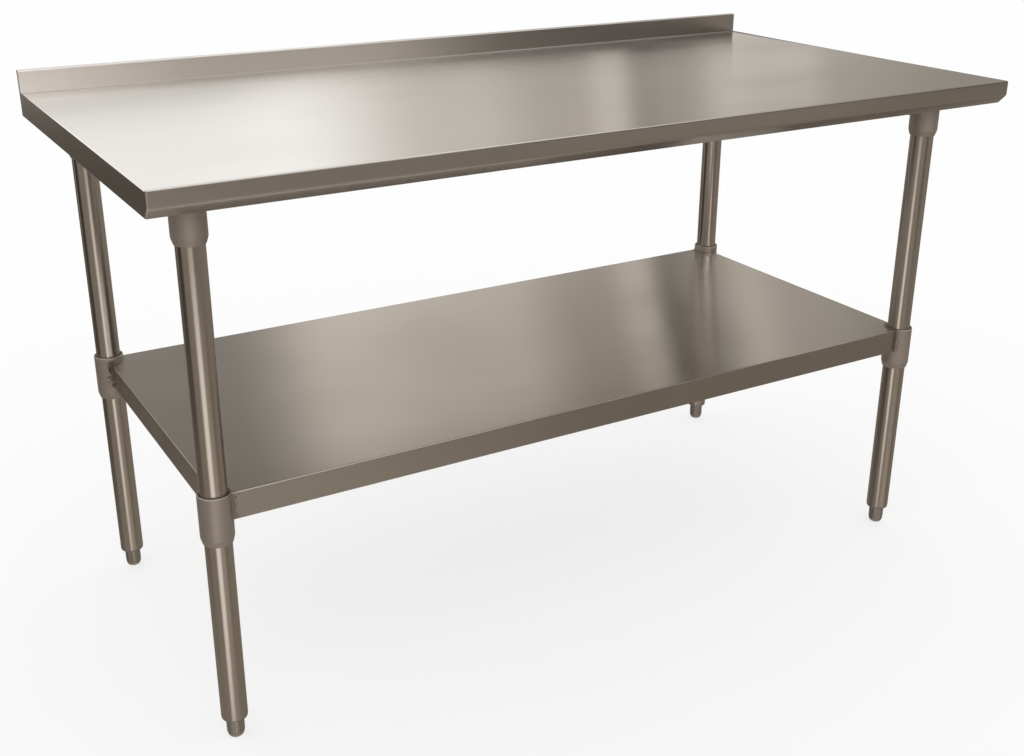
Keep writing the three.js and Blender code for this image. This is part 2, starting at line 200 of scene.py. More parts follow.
def turned(name, profile, axis, segments=ROUND, across_flats=None):
    """A solid of revolution round an upright axis, from (radius, height) points that close on
    themselves. across_flats is a hexagon that the radius stays inside."""
    bm = bmesh.new()
    rings = []
    for radius, height in profile:
        if radius <= 0:
            rings.append([bm.verts.new((axis[0], axis[1], height))])
            continue
        ring = []
        for k in range(segments):
            angle = 2 * math.pi * k / segments
            reach = radius
            if across_flats:
                off_flat = (angle + math.pi / 6) % (math.pi / 3) - math.pi / 6
                reach = min(radius, across_flats / 2 / math.cos(off_flat))
            x = axis[0] + reach * math.cos(angle)
            y = axis[1] + reach * math.sin(angle)
            ring.append(bm.verts.new((x, y, height)))
        rings.append(ring)
    pairs = list(zip(rings, rings[1:]))
    if profile[0][0] > 0:
        pairs.append((rings[-1], rings[0]))
    for lower, upper in pairs:
        for k in range(segments):
            n = (k + 1) % segments
            around = [
                lower[k % len(lower)], lower[n % len(lower)],
                upper[n % len(upper)], upper[k % len(upper)],
            ]
            corners = list(dict.fromkeys(around))
            if len(corners) > 2:
                bm.faces.new(corners)
    bmesh.ops.recalc_face_normals(bm, faces=bm.faces)
    return object_from(bm, name)


def threaded(name, radius, low, high, pitch, depth, axis, segments=SMALL_ROUND):
    """A threaded rod round an upright axis, its thread a true helix that fades out at both ends."""
    bm = bmesh.new()
    rings_per_turn = 8
    steps = max(rings_per_turn, round((high - low) / pitch * rings_per_turn))
    rings = []
    for i in range(steps + 1):
        height = low + (high - low) * i / steps
        from_end = min(height - low, high - height)
        fade = min(1.0, from_end / pitch)
        ring = []
        for k in range(segments):
            angle = 2 * math.pi * k / segments
            phase = (height / pitch - k / segments) % 1
            groove = depth * (1 - abs(2 * phase - 1)) * fade + depth * (1 - fade)
            reach = radius - groove
            x = axis[0] + reach * math.cos(angle)
            y = axis[1] + reach * math.sin(angle)
            ring.append(bm.verts.new((x, y, height)))
        rings.append(ring)
    for lower, upper in zip(rings, rings[1:]):
        for k in range(segments):
            n = (k + 1) % segments
            bm.faces.new((lower[k], lower[n], upper[n], upper[k]))
    bm.faces.new(list(reversed(rings[0])))
    bm.faces.new(rings[-1])
    return object_from(bm, name, sharp=50)


class Skin:
    """The outer face of a folded sheet, gathered panel by panel."""

    def __init__(self):
        self.bm = bmesh.new()

    def panel(self, facing, *points):
        """One flat face of the sheet, turned so that it looks towards facing."""
        corners = [self.bm.verts.new(point) for point in points]
        face = self.bm.faces.new(corners)
        face.normal_update()
        if face.normal.dot(Vector(facing)) < 0:
            face.normal_flip()

    def fold(self, name, sheet, bend):
        """Every edge that two panels share becomes a rounded bend, and the skin gets its thickness."""
        bm = self.bm
        bmesh.ops.remove_doubles(bm, verts=bm.verts, dist=1e-6)
        folds = [edge for edge in bm.edges if len(edge.link_faces) == 2 and edge.calc_face_angle() > 0.1]
        bmesh.ops.bevel(
            bm, geom=folds, offset=bend, segments=BEND_STEPS, profile=0.5, affect="EDGES",
            clamp_overlap=True,
        )
        made = object_from(bm, name)
        thickness = made.modifiers.new("thickness", "SOLIDIFY")
        thickness.thickness = sheet
        thickness.offset = -1
        thickness.use_even_offset = True
        thickness.use_quality_normals = True
        soften(made, RAW_EDGE, limit=60, segments=2)
        return even_shading(made)


def cut_hole(made, start, end, radius):
    """Drills a round hole between two points."""
    run = end - start
    bpy.ops.mesh.primitive_cylinder_add(
        vertices=SMALL_ROUND, radius=radius, depth=run.length, location=(start + end) / 2,
        rotation=run.to_track_quat("Z", "Y").to_euler(),
    )
    drill = bpy.context.object
    modifier = made.modifiers.new("hole", "BOOLEAN")
    modifier.object = drill
    modifier.operation = "DIFFERENCE"
    modifier.solver = "EXACT"
    bpy.context.view_layer.update()
    bored = bpy.data.meshes.new_from_object(made.evaluated_get(bpy.context.evaluated_depsgraph_get()))
    made.modifiers.clear()
    made.data = bored
    bpy.data.objects.remove(drill)


def lay_on_side(made, tip, direction):
    """Turns a piece made upright at the origin so that its +Z points along direction from tip."""
    turn = Vector(direction).to_track_quat("Z", "Y").to_matrix().to_4x4()
    made.data.transform(turn)
    made.data.transform(Matrix.Translation(tip))
    return made


# ---------------------------------------------------------------- materials


class Nodes:
    """A node tree that is written down from left to right."""

    def __init__(self, tree):
        self.tree = tree
        tree.nodes.clear()

    def add(self, kind, **inputs):
        """A node, its inputs given by name or, as i0, i1 and so on, by number."""
        node = self.tree.nodes.new(kind)
        for name, value in inputs.items():
            numbered = name[0] == "i" and name[1:].isdigit()
            socket = node.inputs[int(name[1:])] if numbered else node.inputs[name]
            if isinstance(value, bpy.types.NodeSocket):
                self.tree.links.new(value, socket)
            else:
                socket.default_value = value
        return node

    def math(self, operation, a, b=0.0, c=0.0, clamp=False):
        """One sum, each term a number or another node's output."""
        node = self.add("ShaderNodeMath", i0=a, i1=b, i2=c)
        node.operation = operation
        node.use_clamp = clamp
        return node.outputs[0]

    def vector(self, operation, a, b=(0, 0, 0)):
        node = self.add("ShaderNodeVectorMath", i0=a, i1=b)
        node.operation = operation
        return node.outputs[0]

    def spread(self, value, low, high, to_low, to_high, smooth=False):
        """The value, spread from its own range onto another and held there past both ends."""
        node = self.tree.nodes.new("ShaderNodeMapRange")
        node.clamp = True
        node.interpolation_type = "SMOOTHSTEP" if smooth else "LINEAR"
        for socket, given in zip(node.inputs, (value, low, high, to_low, to_high)):
            if isinstance(given, bpy.types.NodeSocket):
                self.tree.links.new(given, socket)
            else:
                socket.default_value = given
        return node.outputs[0]

    def noise(self, vector, scale, detail=3.0, roughness=0.5):
        node = self.add(
            "ShaderNodeTexNoise", Vector=vector, Scale=scale, Detail=detail, Roughness=roughness,
        )
        return node.outputs[0]

    def stretched(self, vector, stretch):
        """A place whose noise is drawn out along the axis with the smallest stretch."""
        return self.vector("MULTIPLY", vector, stretch)

    def blend(self, factor, first, second):
        """A mix of two colours: the first at factor 0 and the second at 1."""
        node = self.tree.nodes.new("ShaderNodeMix")
        node.data_type = "RGBA"
        for socket, given in zip((node.inputs[0], node.inputs[6], node.inputs[7]), (factor, first, second)):
            if isinstance(given, bpy.types.NodeSocket):
                self.tree.links.new(given, socket)
            else:
                socket.default_value = given
        return node.outputs[2]


def colour(r, g, b):
    return (r, g, b, 1.0)


TINT = colour(0.17, 0.11, 0.09)
TINT_REACH = 11 * MM             # how far from a weld the heat coloured the steel
TINT_CORE = 1 * MM               # and how far the colour is full
TINT_WANDER = 6 * MM             # how far the edge of the colour wanders in and out
BLOTCHES_PER_METRE = 260.0
TINT_STRENGTH = 0.5
TINT_EXTRA_BACK_LEFT = 0.5       # this corner's weld was the hottest


def heat_tint(nodes, place):
    """How strongly the steel is discoloured by the welds between the shelf's edges and its sockets."""
    split = nodes.add("ShaderNodeSeparateXYZ", Vector=place).outputs
    outward_x = nodes.math("SUBTRACT", nodes.math("ABSOLUTE", split[0]), LEG_SPREAD.x)
    behind = nodes.math("SUBTRACT", split[1], LEG_CENTRE.y)
    outward_y = nodes.math("SUBTRACT", nodes.math("ABSOLUTE", behind), LEG_SPREAD.y)
    gaps = []
    for seam in WELD_SEAMS:
        off_x = nodes.math("SUBTRACT", outward_x, seam.x)
        off_y = nodes.math("SUBTRACT", outward_y, seam.y)
        square_x = nodes.math("MULTIPLY", off_x, off_x)
        square_y = nodes.math("MULTIPLY", off_y, off_y)
        gaps.append(nodes.math("SQRT", nodes.math("ADD", square_x, square_y)))
    blotches = nodes.noise(place, BLOTCHES_PER_METRE, detail=3.0, roughness=0.6)
    wander = nodes.spread(blotches, 0.3, 0.7, -TINT_WANDER, TINT_WANDER)
    gap = nodes.math("ADD", nodes.math("MINIMUM", *gaps), wander)
    tint = nodes.spread(gap, TINT_CORE, TINT_REACH, 1.0, 0.0, smooth=True)
    foot = nodes.spread(split[2], SHELF.low.z - 4 * MM, SHELF.low.z + 8 * MM, 0.0, 1.0, smooth=True)
    head = nodes.spread(split[2], SHELF.high.z + 2 * MM, SHELF.high.z + 12 * MM, 1.0, 0.0, smooth=True)
    at_back = nodes.math("GREATER_THAN", behind, 0.0)
    at_left = nodes.math("LESS_THAN", split[0], 0.0)
    back_left = nodes.math("MULTIPLY", at_back, at_left)
    strength = nodes.math("ADD", nodes.math("MULTIPLY", back_left, TINT_EXTRA_BACK_LEFT), TINT_STRENGTH)
    tint = nodes.math("MULTIPLY", tint, strength)
    return nodes.math("MULTIPLY", tint, nodes.math("MULTIPLY", foot, head))


SHEET_GRAIN = 900.0              # brush lines to a metre of sheet, and their waves along it
SHEET_GRAIN_LENGTHWISE = 6.0
ROUND_GRAIN = (60.0, 60.0, 2400.0)      # the same for the lines round a turned piece
GRAIN_RELIEF = 0.001 * MM
END_FACE = 0.72                  # a face that looks along X more than this is one of a sheet's ends
CLOUDS_PER_METRE = 5.0
SMEARS = (1.2, 4.0, 4.0)         # slow changes of polish, drawn out along the table
SWELL = (1.0, 1.0, 0.6)          # slow waves in a surface that isn't quite flat
SWELLS_PER_METRE = 4.0


def steel(name, light, dark, roughness, anisotropy, grain, streaks=0.12, wave=0.0, patches=0.3,
          welded=False):
    """Brushed stainless steel between a light and a dark tone. grain is the direction of the
    brushing: "sheet" follows a folded sheet's length and "round" runs round a turned piece. streaks
    and patches say how much the brush lines and the clouds darken it, and wave is the height of its
    unevenness in millimetres."""
    material = bpy.data.materials.new(name)
    material.use_nodes = True
    nodes = Nodes(material.node_tree)
    place = nodes.add("ShaderNodeTexCoord").outputs["Object"]
    normal = nodes.add("ShaderNodeNewGeometry").outputs["Normal"]
    if grain == "sheet":
        facing = nodes.add("ShaderNodeSeparateXYZ", Vector=normal).outputs[0]
        on_end = nodes.math("GREATER_THAN", nodes.math("ABSOLUTE", facing), END_FACE)
        along = nodes.add(
            "ShaderNodeCombineXYZ", X=nodes.math("SUBTRACT", 1.0, on_end), Y=0.0, Z=on_end,
        ).outputs[0]
        fine = nodes.blend(
            on_end,
            nodes.stretched(place, (SHEET_GRAIN_LENGTHWISE, SHEET_GRAIN, SHEET_GRAIN)),
            nodes.stretched(place, (SHEET_GRAIN, SHEET_GRAIN, SHEET_GRAIN_LENGTHWISE)),
        )
    else:
        along = nodes.vector("CROSS_PRODUCT", normal, (0.0, 0.0, 1.0))
        fine = nodes.stretched(place, ROUND_GRAIN)
    across = nodes.vector("CROSS_PRODUCT", normal, along)
    lines = nodes.noise(fine, 1.0, detail=2.0, roughness=0.6)
    clouds = nodes.noise(place, CLOUDS_PER_METRE, detail=4.0, roughness=0.55)
    tone = nodes.spread(clouds, 0.3, 0.7, 0.0, patches, smooth=True)
    tone = nodes.math("ADD", tone, nodes.spread(lines, 0.25, 0.75, 0.0, streaks), clamp=True)
    base = nodes.blend(tone, light, dark)
    if welded:
        base = nodes.blend(heat_tint(nodes, place), base, TINT)
    smears = nodes.noise(nodes.stretched(place, SMEARS), 2.0, detail=2.0, roughness=0.5)
    rough = nodes.spread(smears, 0.35, 0.7, roughness - 0.006, roughness + 0.01)
    bump = nodes.add("ShaderNodeBump", Strength=1.0, Distance=GRAIN_RELIEF, Height=lines)
    if wave:
        swell = nodes.noise(nodes.stretched(place, SWELL), SWELLS_PER_METRE, detail=1.0)
        bump = nodes.add(
            "ShaderNodeBump", Strength=1.0, Distance=wave * MM, Height=swell, Normal=bump.outputs[0],
        )
    shader = nodes.add("ShaderNodeBsdfPrincipled")
    links = nodes.tree.links
    links.new(base, shader.inputs["Base Color"])
    links.new(rough, shader.inputs["Roughness"])
    links.new(bump.outputs[0], shader.inputs["Normal"])
    links.new(across, shader.inputs["Tangent"])
    shader.inputs["Metallic"].default_value = 1.0
    shader.inputs["Anisotropic"].default_value = anisotropy
    nodes.add("ShaderNodeOutputMaterial", Surface=shader.outputs[0])
    return material


MATERIALS = {
    "top_steel": steel(
        "top_steel", colour(0.67, 0.645, 0.61), colour(0.61, 0.58, 0.54), 0.2, 1.0, "sheet",
        wave=0.02,
    ),
    "shelf_steel": steel(
        "shelf_steel", colour(0.62, 0.585, 0.54), colour(0.55, 0.51, 0.465), 0.2, 1.0, "sheet",
        wave=0.02, welded=True,
    ),
    "leg_steel": steel(
        "leg_steel", colour(0.64, 0.59, 0.54), colour(0.58, 0.53, 0.48), 0.25, 0.3, "round",
        streaks=0.05, wave=0.01,
    ),
    "socket_steel": steel(
        "socket_steel", colour(0.64, 0.585, 0.54), colour(0.54, 0.485, 0.44), 0.58, 0.0, "round",
        streaks=0.05, welded=True,
    ),
    "weld": steel(
        "weld", colour(0.62, 0.57, 0.52), colour(0.16, 0.11, 0.09), 0.3, 0.0, "round",
        patches=1.0,
    ),
    "foot_steel": steel(
        "foot_steel", colour(0.56, 0.53, 0.5), colour(0.42, 0.4, 0.37), 0.34, 0.3, "round",
    ),
    "channel_steel": steel(
        "channel_steel", colour(0.56, 0.55, 0.53), colour(0.47, 0.455, 0.44), 0.34, 0.6, "sheet",
    ),
    "insert_metal": steel(
        "insert_metal", colour(0.5, 0.49, 0.47), colour(0.38, 0.37, 0.35), 0.42, 0.0, "round",
    ),
    "fastener_steel": steel(
        "fastener_steel", colour(0.42, 0.41, 0.39), colour(0.3, 0.29, 0.28), 0.4, 0.0, "round",
    ),
}


def present(made, body, slot, *nodes, finish=None):
    """Gives a piece a finish of its own or else its slot's, hangs it from its body's empty and hides the
    CAD nodes that it stands for."""
    made.data.materials.clear()
    made.data.materials.append(MATERIALS[finish or slot])
    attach(made, body)
    if nodes:
        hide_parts(*nodes)
    return made


# ---------------------------------------------------------------- the top

APRON_BOTTOM = TOP.low.z


def build_top():
    """The folded top with its riser: a profile along X, closed by the side aprons and their hems."""
    left, right = TOP.low.x, TOP.high.x
    front, back = TOP.low.y, TOP.high.y
    riser = back - RISER_DEPTH
    path = [
        (front + FRONT_BEVEL, APRON_BOTTOM), (front, APRON_BOTTOM + FRONT_BEVEL), (front, WORK_HEIGHT),
        (riser, WORK_HEIGHT), (riser, TOP.high.z), (back, TOP.high.z),
    ]
    facings = [(0, -1, -1), (0, -1, 0), (0, 0, 1), (0, -1, 0), (0, 0, 1)]
    skin = Skin()
    for facing, (a, b) in zip(facings, zip(path, path[1:])):
        skin.panel(facing, (left, *a), (right, *a), (right, *b), (left, *b))
    skin.panel(
        (0, 1, 0), (left, back, TOP.high.z), (right, back, TOP.high.z), (right, back, WORK_HEIGHT),
        (right, back, APRON_BOTTOM), (left, back, APRON_BOTTOM), (left, back, WORK_HEIGHT),
    )
    for x, side in ((left, -1), (right, 1)):
        skin.panel(
            (side, 0, 0), *((x, *point) for point in path[:4]),
            (x, back, WORK_HEIGHT), (x, back, APRON_BOTTOM),
        )
        inner = x - side * TOP_HEM
        skin.panel(
            (0, 0, -1), (x, front + FRONT_BEVEL, APRON_BOTTOM), (x, back, APRON_BOTTOM),
            (inner, back - TOP_HEM, APRON_BOTTOM), (inner, front + FRONT_BEVEL + TOP_HEM, APRON_BOTTOM),
        )
    sheet = skin.fold("top_sheet_skin", TOP_SHEET, TOP_BEND)
    present(sheet, "frame", "top_steel", "top_sheet")


def build_riser_caps():
    """The plates that close the riser's ends."""
    for side in ("left", "right"):
        box = Box(f"riser_cap_{side}")
        bm = bmesh.new()
        bmesh.ops.create_cube(bm, size=1)
        for vert in bm.verts:
            vert.co = box.middle + Vector(vert.co[i] * box.size[i] for i in range(3))
        cap = object_from(bm, f"riser_end_{side}")
        soften(cap, 0.35 * MM, segments=3)
        present(even_shading(cap), "frame", "top_steel", f"riser_cap_{side}")


def build_studs():
    """The studs welded under the top, which reach just into its sheet, and the nuts on them."""
    underside = WORK_HEIGHT - TOP_SHEET
    sunk = 0.2 * MM
    lead_in = 0.4 * MM
    for channel in CHANNELS:
        for number in range(1, 5):
            nut = Box(f"nut_{channel}_{number}")
            axis = nut.middle.xy
            stud = threaded(
                f"stud_{channel}_{number}", STUD_RADIUS, underside - STUD_LENGTH, underside + sunk,
                STUD_PITCH, STUD_THREAD, axis, segments=TINY_ROUND,
            )
            present(stud, "frame", "fastener_steel")
            bore = STUD_RADIUS + NUT_PLAY
            flats = nut.size.y
            face = flats / 2 - 0.1 * MM
            corner = flats / 2 / math.cos(math.pi / 6)
            low, high = nut.low.z, nut.high.z
            profile = [
                (bore + lead_in, low), (face, low), (corner, low + NUT_CHAMFER),
                (corner, high - NUT_CHAMFER), (face, high), (bore + lead_in, high),
                (bore, high - lead_in), (bore, low + lead_in),
            ]
            hexagon = turned(f"stud_nut_{channel}_{number}", profile, axis, SMALL_ROUND, across_flats=flats)
            soften(hexagon, 0.15 * MM, limit=25)
            present(even_shading(hexagon), "frame", "fastener_steel", f"nut_{channel}_{number}")


# ---------------------------------------------------------------- channels


def hat_channel(name, box, lengthwise, sheet, bend):
    """A hat channel that fills its CAD box: two brims above and a crown below."""
    start, end = (box.low.x, box.high.x) if lengthwise else (box.low.y, box.high.y)
    low, high = (box.low.y, box.high.y) if lengthwise else (box.low.x, box.high.x)
    middle = (low + high) / 2
    wall = CHANNEL_CROWN / 2 - sheet
    path = [
        (low, box.high.z), (middle - wall, box.high.z), (middle - wall, box.low.z + sheet),
        (middle + wall, box.low.z + sheet), (middle + wall, box.high.z), (high, box.high.z),
    ]
    facings = [(0, 1), (1, 0), (0, 1), (-1, 0), (0, 1)]

    def at(distance, point):
        return (distance, *point) if lengthwise else (point[0], distance, point[1])

    skin = Skin()
    for facing, (a, b) in zip(facings, zip(path, path[1:])):
        skin.panel(at(0, facing), at(start, a), at(end, a), at(end, b), at(start, b))
    return skin.fold(name, sheet, bend)


def build_channels():
    """The hat channels that stiffen the top and the undershelf."""
    for channel in CHANNELS:
        box = Box(f"channel_{channel}")
        made = hat_channel(f"hat_channel_{channel}", box, channel == "center", TOP_SHEET, CHANNEL_BEND)
        present(made, "frame", "channel_steel", f"channel_{channel}")
    made = hat_channel("shelf_hat_channel", Box("shelf_channel"), True, SHELF_SHEET, CHANNEL_BEND)
    present(made, "shelf", "channel_steel", "shelf_channel")


# ---------------------------------------------------------------- legs, gussets and sockets


def outward(corner):
    """The signs of x and y on the way out from the table's middle to a leg."""
    place = LEGS[corner].middle - LEG_CENTRE
    return Vector((math.copysign(1, place.x), math.copysign(1, place.y)))


def inward(corner):
    """Unit vector from a leg towards the middle of the table, along the corner's diagonal."""
    return -outward(corner).to_3d().normalized()


def on_axis(corner, height):
    """The point at that height on a leg's axis."""
    return Vector((*LEGS[corner].middle.xy, height))


def screw_hole(made, corner, height):
    """Drills a set screw's hole through the inward wall of a gusset or socket, and past both faces."""
    axis = on_axis(corner, height)
    way = inward(corner)
    start = axis + way * (LEG_RADIUS - 4 * MM)
    end = axis + way * (SOCKET_RADIUS + 6 * MM)
    cut_hole(made, start, end, SCREW_RADIUS + SCREW_PLAY)


def build_legs():
    """Plain tubes, their cut ends a little rounded."""
    for corner in CORNERS:
        leg = LEGS[corner]
        inner = LEG_RADIUS - LEG_WALL
        profile = filleted([
            (inner, leg.low.z, 0.3 * MM), (LEG_RADIUS, leg.low.z, 1.1 * MM),
            (LEG_RADIUS, leg.high.z, 0.4 * MM), (inner, leg.high.z, 0.3 * MM),
        ])
        tube = turned(f"leg_tube_{corner}", profile, leg.middle.xy)
        present(even_shading(tube), "frame", "leg_steel", f"leg_{corner}")


def build_gussets():
    """Cups that are closed above and taper to the leg below."""
    for corner in CORNERS:
        box = GUSSETS[corner]
        low, high = box.low.z, box.high.z
        bore = LEG_RADIUS + GUSSET_PLAY
        shoulder = low + GUSSET_TAPER
        profile = filleted([
            (SOCKET_RADIUS, high, 0.8 * MM), (SOCKET_RADIUS, shoulder, 2 * MM),
            (bore + TAPER_EDGE, low, 0.3 * MM), (bore, low, 0.2 * MM), (bore, high - GUSSET_CAP, 1 * MM),
            (0, high - GUSSET_CAP, 0), (0, high, 0),
        ], steps=6)
        centre = profile.index((0.0, high))
        profile = profile[centre:] + profile[:centre]
        socket = turned(f"gusset_{corner}", profile, box.middle.xy)
        screw_hole(socket, corner, Box(f"gusset_screw_{corner}").middle.z)
        present(even_shading(socket), "frame", "socket_steel", f"leg_gusset_{corner}")


def build_sockets():
    """Sleeves that stand open above, with a dished rim, and taper to the leg below."""
    for corner in CORNERS:
        box = SOCKETS[corner]
        low, high = box.low.z, box.high.z
        bore = LEG_RADIUS + SOCKET_PLAY
        profile = filleted([
            (bore, low, 0.2 * MM), (bore + TAPER_EDGE, low, 0.3 * MM),
            (SOCKET_RADIUS, low + SOCKET_TAPER, 2.5 * MM), (SOCKET_RADIUS, high, 1.6 * MM),
            (bore + SOCKET_DISH, high, 0.5 * MM), (bore, high - SOCKET_DISH_DEPTH, 1 * MM),
        ], steps=6)
        socket = turned(f"socket_{corner}", profile, box.middle.xy)
        screw_hole(socket, corner, Box(f"shelf_screw_{corner}").middle.z)
        present(even_shading(socket), "shelf", "socket_steel", f"shelf_socket_{corner}")


def set_screw_profile():
    """A cup-point screw that stands on its point, with ring grooves for its thread and a round
    recess above. Everything is in (radius, height)."""
    cup_depth = 0.9 * MM
    cup_radius = 1.6 * MM
    plain = 1 * MM
    root = SCREW_RADIUS - SCREW_THREAD
    chamfer = 0.3 * MM
    floor = SCREW_LENGTH - SCREW_RECESS
    profile = [(0, cup_depth), (cup_radius, 0), (SCREW_RADIUS - 1.2 * MM, 0)]
    for k in range(int((SCREW_LENGTH - 2 * plain) / SCREW_PITCH)):
        low = plain + k * SCREW_PITCH
        profile += [(root, low), (SCREW_RADIUS, low + SCREW_PITCH / 2)]
    profile += [(root, SCREW_LENGTH - 0.6 * MM), (SCREW_RADIUS - 0.9 * MM, SCREW_LENGTH)]
    profile += [(SCREW_KEY + chamfer, SCREW_LENGTH), (SCREW_KEY, SCREW_LENGTH - chamfer)]
    profile += [(SCREW_KEY, floor), (0, floor)]
    return profile


def build_set_screws():
    """One through each gusset and each socket, on the side that faces the table's middle."""
    for kind in ("gusset", "shelf"):
        for corner in CORNERS:
            node = f"{kind}_screw_{corner}"
            way = inward(corner)
            tip = on_axis(corner, Box(node).middle.z) + way * (LEG_RADIUS + SCREW_PLAY)
            screw = turned(f"{kind}_set_screw_{corner}", set_screw_profile(), (0, 0), TINY_ROUND)
            lay_on_side(screw, tip, way)
            present(screw, node, "fastener_steel", node)


# ---------------------------------------------------------------- feet


def build_feet():
    """At each leg's lower end, a bored plug, the threaded stem in it and the bullet foot below."""
    for corner in CORNERS:
        insert = Box(f"foot_insert_{corner}")
        stem = Box(f"foot_stem_{corner}")
        foot = Box(f"foot_{corner}")
        axis = LEGS[corner].middle.xy
        lip = insert.size.x / 2
        plug = LEG_RADIUS - LEG_WALL - INSERT_PLAY
        bore = stem.size.x / 2 + STEM_PLAY
        lip_top = insert.low.z + INSERT_LIP
        profile = filleted([
            (bore, insert.low.z, 0.4 * MM), (lip, insert.low.z, 0.8 * MM), (lip, lip_top, 0.2 * MM),
            (plug, lip_top, 0), (plug, insert.high.z, 0.8 * MM), (bore, insert.high.z, 0.4 * MM),
        ])
        collar = turned(f"leg_plug_{corner}", profile, axis)
        present(even_shading(collar), "frame", "insert_metal", f"foot_insert_{corner}")
        rod = threaded(
            f"foot_thread_{corner}", stem.size.x / 2, stem.low.z, stem.high.z,
            STEM_PITCH, STEM_THREAD, axis,
        )
        present(rod, f"stem_{corner}", "fastener_steel", f"foot_stem_{corner}")
        nose = []
        for k in range(NOSE_STEPS + 1):
            turn = k / NOSE_STEPS * math.pi / 2
            radius = FOOT_PAD_RADIUS + (FOOT_RADIUS - FOOT_PAD_RADIUS) * math.sin(turn)
            nose.append((radius, foot.low.z + FOOT_ROUND_START * (1 - math.cos(turn))))
        top = foot.high.z
        bottom = stem.low.z - STEM_PLAY
        lead_in = 0.6 * MM
        profile = [
            (0, foot.low.z), *nose, (FOOT_RADIUS, top - 1.2 * MM), (FOOT_RADIUS - 0.4 * MM, top - 0.4 * MM),
            (FOOT_RADIUS - 1.2 * MM, top), (bore + lead_in, top), (bore, top - lead_in),
            (bore, bottom), (0, bottom),
        ]
        bullet = turned(f"bullet_foot_{corner}", profile, axis, across_flats=FOOT_ACROSS_FLATS)
        present(even_shading(bullet), f"foot_{corner}", "foot_steel", f"foot_{corner}")


# ---------------------------------------------------------------- undershelf


def build_shelf():
    """The folded undershelf: a top face cut away round the sockets, four flanges and their hems."""
    left, right = SHELF.low.x, SHELF.high.x
    front, back = SHELF.low.y, SHELF.high.y
    bottom, top = SHELF.low.z, SHELF.high.z
    skin = Skin()
    rim = []
    ends = {}
    for corner in ("front_left", "front_right", "back_right", "back_left"):
        axis = LEGS[corner].middle.xy
        side = -1 if "left" in corner else 1
        end = -1 if "front" in corner else 1
        x = left if side < 0 else right
        y = front if end < 0 else back
        on_side = Vector((x, axis.y - end * on_cut(x - axis.x)))
        on_end = Vector((axis.x - side * on_cut(y - axis.y), y))
        hem_side = Vector((x - side * SHELF_HEM, axis.y - end * on_cut(x - side * SHELF_HEM - axis.x)))
        hem_end = Vector((axis.x - side * on_cut(y - end * SHELF_HEM - axis.y), y - end * SHELF_HEM))
        ends[corner] = (on_side, on_end, hem_side, hem_end)
        a = on_side - axis
        b = on_end - axis
        sweep = -a.angle_signed(b)
        arc = []
        for k in range(CUT_STEPS + 1):
            turn = sweep * k / CUT_STEPS
            cos, sin = math.cos(turn), math.sin(turn)
            arc.append(axis + Vector((a.x * cos - a.y * sin, a.x * sin + a.y * cos)))
        rim += arc if corner in ("front_left", "back_right") else arc[::-1]
    skin.panel((0, 0, 1), *((p.x, p.y, top) for p in rim))
    edges = [
        ((0, -1, 0), "front_left", "front_right", 1), ((0, 1, 0), "back_left", "back_right", 1),
        ((-1, 0, 0), "front_left", "back_left", 0), ((1, 0, 0), "front_right", "back_right", 0),
    ]
    for facing, first, second, which in edges:
        a, b = ends[first][which], ends[second][which]
        hem_a, hem_b = ends[first][which + 2], ends[second][which + 2]
        skin.panel(facing, (*a, top), (*b, top), (*b, bottom), (*a, bottom))
        skin.panel((0, 0, -1), (*a, bottom), (*b, bottom), (*hem_b, bottom), (*hem_a, bottom))
    pan = skin.fold("shelf_pan_skin", SHELF_SHEET, SHELF_BEND)
    present(pan, "shelf", "shelf_steel", "shelf_pan")


WELD_RADIUS = 1.7 * MM
TOP_WELD_RADIUS = 1.4 * MM
UPRIGHT_DROPS = 26
TOP_DROPS = 30
WOBBLE = 0.18                    # how much the drops' size varies, as a share of their radius
DRIFT = 0.12                     # how far they stray from the path, likewise


def bead(name, path, radius):
    """A run of weld: overlapping drops along a path, each a little out of line."""
    bm = bmesh.new()
    for number, place in enumerate(path):
        size = radius * (1 + math.sin(number * 2.4) * WOBBLE)
        drift = Vector((math.sin(number * 1.7), math.cos(number * 2.9), 0)) * radius * DRIFT
        bmesh.ops.create_icosphere(
            bm, subdivisions=2, radius=size, matrix=Matrix.Translation(place + drift),
        )
    return object_from(bm, name, sharp=180)


def build_welds():
    """Each socket is welded to the shelf down both its edges and round the shelf's cut corner."""
    foot = SHELF.low.z + 3 * MM
    head = SHELF.high.z - 2 * MM
    top = SHELF.high.z - 0.6 * MM
    start, end = (math.atan2(seam.y, seam.x) for seam in WELD_SEAMS)
    sweep = end - 2 * math.pi - start
    for corner in CORNERS:
        axis = LEGS[corner].middle
        way = outward(corner)
        for edge, seam in zip(("side", "end"), WELD_SEAMS):
            x = axis.x + way.x * seam.x
            y = axis.y + way.y * seam.y
            path = []
            for k in range(UPRIGHT_DROPS):
                path.append(Vector((x, y, foot + (head - foot) * k / (UPRIGHT_DROPS - 1))))
            run = bead(f"weld_{edge}_{corner}", path, WELD_RADIUS)
            present(run, "shelf", "socket_steel", finish="weld")
        path = []
        for k in range(TOP_DROPS):
            angle = start + sweep * k / (TOP_DROPS - 1)
            x = axis.x + way.x * SHELF_CLEAR * math.cos(angle)
            y = axis.y + way.y * SHELF_CLEAR * math.sin(angle)
            path.append(Vector((x, y, top)))
        run = bead(f"weld_top_{corner}", path, TOP_WELD_RADIUS)
        present(run, "shelf", "socket_steel", finish="weld")


# ---------------------------------------------------------------- studio


FLOOR_GLOW = 0.72
FLOOR_PAINT = 0.27
FLOOR_SIZE = 60.0


